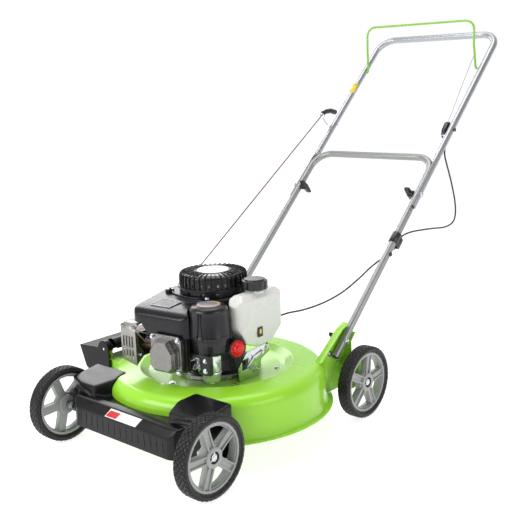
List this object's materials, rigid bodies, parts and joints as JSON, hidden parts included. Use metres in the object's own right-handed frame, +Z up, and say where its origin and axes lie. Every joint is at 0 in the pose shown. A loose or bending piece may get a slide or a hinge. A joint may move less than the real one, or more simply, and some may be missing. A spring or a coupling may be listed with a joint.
{
  "type": "push lawn mower",
  "caption": "Petrol rotary push mower: round side-discharge deck, ribbed pull starter, four spoked wheels and a folding two-piece tube handle with a bail lever.",
  "frame": {"origin": "on the ground under the middle of the machine's box", "axes": "+Z up, -Y forward (the way it mows), +X the operator's left"},
  "size_m": [0.71, 1.5742, 1.0931],
  "materials": {
    "lime_paint": "gloss",
    "bumper_plastic": "satin",
    "rim_plastic": "satin",
    "tyre_rubber": "matt",
    "flap_plastic": "satin",
    "lower_handle_paint": "satin metallic",
    "upper_handle_paint": "satin metallic",
    "zinc_hardware": "bright zinc plate",
    "knob_plastic": "semi-gloss",
    "cable_black": "satin",
    "inner_wire": "drawn",
    "cast_alloy": "as cast",
    "machined_alloy": "die cast",
    "shaft_steel": "oiled",
    "blade_steel": "satin black",
    "guard_stainless": "brushed",
    "muffler_steel": "heat tinted",
    "engine_plastic": "fine grain",
    "filter_plastic": "fine grain",
    "filter_foam": "foam",
    "plug_ceramic": "glazed",
    "tank_plastic": "translucent",
    "bulb_rubber": "satin",
    "rope_fibre": "braided"
  },
  "bodies": {
    "chassis": {"deck_shell": "lime_paint", "front_axle_carrier": "bumper_plastic", "handle_bracket_left": "lime_paint", "handle_bracket_right": "lime_paint", "axle_bolt_front_left": "zinc_hardware", "axle_bolt_front_right": "zinc_hardware", "axle_bolt_rear_left": "zinc_hardware", "axle_bolt_rear_right": "zinc_hardware", "flap_hinge_pin": "zinc_hardware", "lower_handle": "lower_handle_paint", "base_bolt_left": "zinc_hardware", "base_bolt_right": "zinc_hardware", "cable_clip": "cable_black", "crankcase_and_cylinder": "cast_alloy", "cylinder_head": "cast_alloy", "valve_cover": "machined_alloy", "spark_plug": "plug_ceramic", "muffler": "muffler_steel", "muffler_guard": "guard_stainless", "engine_shroud": "engine_plastic", "recoil_housing": "engine_plastic", "fuel_tank": "tank_plastic", "air_filter_base": "filter_plastic", "air_filter_element": "filter_foam", "air_filter_cover": "filter_plastic", "carburettor": "zinc_hardware", "float_bowl": "zinc_hardware", "brake_bracket": "zinc_hardware", "starter_rope": "rope_fibre", "brake_cable": "cable_black"},
    "upper_frame": {"upper_handle": "upper_handle_paint", "fold_bolt_left": "zinc_hardware", "fold_bolt_right": "zinc_hardware", "cable_stop": "cable_black", "rope_guide": "zinc_hardware", "brake_inner_wire": "inner_wire"},
    "bail": {"bail_lever": "lime_paint"},
    "brake_arm": {"brake_lever": "zinc_hardware"},
    "flap": {"discharge_flap": "flap_plastic"},
    "blade_shaft": {"crankshaft": "shaft_steel", "flywheel": "machined_alloy", "blade_adapter": "cast_alloy", "blade": "blade_steel", "blade_bolt": "zinc_hardware"},
    "pulley": {"starter_pulley": "engine_plastic"},
    "grip": {"starter_grip": "knob_plastic"},
    "filler_cap": {"fuel_cap": "knob_plastic"},
    "primer": {"primer_bulb": "bulb_rubber"},
    "wheel_front_left": {"tyre_front_left": "tyre_rubber", "rim_front_left": "rim_plastic"},
    "wheel_front_right": {"tyre_front_right": "tyre_rubber", "rim_front_right": "rim_plastic"},
    "wheel_rear_left": {"tyre_rear_left": "tyre_rubber", "rim_rear_left": "rim_plastic"},
    "wheel_rear_right": {"tyre_rear_right": "tyre_rubber", "rim_rear_right": "rim_plastic"},
    "fold_knob_left_body": {"fold_knob_left": "knob_plastic"},
    "base_knob_left_body": {"base_knob_left": "knob_plastic"},
    "fold_knob_right_body": {"fold_knob_right": "knob_plastic"},
    "base_knob_right_body": {"base_knob_right": "knob_plastic"}
  },
  "joints": [
    {"name": "wheel_front_left_spin", "type": "hinge", "parent": "chassis", "child": "wheel_front_left", "pos_m": [0.316, -0.68709, 0.1], "axis": [1, 0, 0], "continuous": true},
    {"name": "wheel_front_right_spin", "type": "hinge", "parent": "chassis", "child": "wheel_front_right", "pos_m": [-0.23, -0.68709, 0.1], "axis": [1, 0, 0], "continuous": true},
    {"name": "wheel_rear_left_spin", "type": "hinge", "parent": "chassis", "child": "wheel_rear_left", "pos_m": [0.316, -0.08209, 0.1], "axis": [1, 0, 0], "continuous": true},
    {"name": "wheel_rear_right_spin", "type": "hinge", "parent": "chassis", "child": "wheel_rear_right", "pos_m": [-0.23, -0.08209, 0.1], "axis": [1, 0, 0], "continuous": true},
    {"name": "upper_handle_fold", "type": "hinge", "parent": "chassis", "child": "upper_frame", "pos_m": [0.043, 0.27242, 0.5741], "axis": [1, 0, 0], "range_deg": [0, 134], "deforming": ["starter_rope", "brake_cable"]},
    {"name": "bail_squeeze", "type": "hinge", "parent": "upper_frame", "child": "bail", "pos_m": [0.043, 0.65701, 0.93499], "axis": [-1, 0, 0], "range_deg": [0, 42], "stiffness_Nm_per_rad": 0.5, "springref_deg": -51.57, "deforming": ["brake_inner_wire"]},
    {"name": "brake_arm_turn", "type": "hinge", "parent": "chassis", "child": "brake_arm", "pos_m": [0.1805, -0.38259, 0.222], "axis": [1, 0, 0], "range_deg": [0, 26]},
    {"name": "fold_knob_left_turn", "type": "hinge", "parent": "upper_frame", "child": "fold_knob_left_body", "pos_m": [0.247, 0.27242, 0.5741], "axis": [1, 0, 0], "continuous": true},
    {"name": "base_knob_left_turn", "type": "hinge", "parent": "chassis", "child": "base_knob_left_body", "pos_m": [0.244, -0.10939, 0.2158], "axis": [1, 0, 0], "continuous": true},
    {"name": "fold_knob_right_turn", "type": "hinge", "parent": "upper_frame", "child": "fold_knob_right_body", "pos_m": [-0.161, 0.27242, 0.5741], "axis": [-1, 0, 0], "continuous": true},
    {"name": "base_knob_right_turn", "type": "hinge", "parent": "chassis", "child": "base_knob_right_body", "pos_m": [-0.158, -0.10939, 0.2158], "axis": [-1, 0, 0], "continuous": true},
    {"name": "crankshaft_spin", "type": "hinge", "parent": "chassis", "child": "blade_shaft", "pos_m": [0.043, -0.37859, 0.2], "axis": [0, 0, 1], "continuous": true},
    {"name": "starter_pull", "type": "slide", "parent": "upper_frame", "child": "grip", "axis": [-0.0999, 0.4864, 0.868], "range_m": [0, 0.45], "stiffness_N_per_m": 12, "springref_m": -0.3, "deforming": ["starter_rope"]},
    {"name": "pulley_turn", "type": "hinge", "parent": "chassis", "child": "pulley", "pos_m": [0.043, -0.37859, 0.405], "axis": [0, 0, -1], "range_deg": [0, 570]},
    {"name": "filler_cap_turn", "type": "hinge", "parent": "chassis", "child": "filler_cap", "pos_m": [0.174, -0.36059, 0.415], "axis": [0, 0, 1], "continuous": true},
    {"name": "primer_press", "type": "slide", "parent": "chassis", "child": "primer", "axis": [-0.9744, 0.225, 0], "range_m": [0, 0.006], "stiffness_N_per_m": 600, "springref_m": -0.002},
    {"name": "flap_lift", "type": "hinge", "parent": "chassis", "child": "flap", "pos_m": [-0.247, -0.42959, 0.206], "axis": [0, 1, 0], "range_deg": [0, 60], "stiffness_Nm_per_rad": 0.15, "springref_deg": -45.84}
  ],
  "couplings": [
    {"joint": "brake_arm_turn", "follows": "bail_squeeze", "ratio": 0.59},
    {"joint": "pulley_turn", "follows": "starter_pull", "rad_per_m": 21.74}
  ]
}
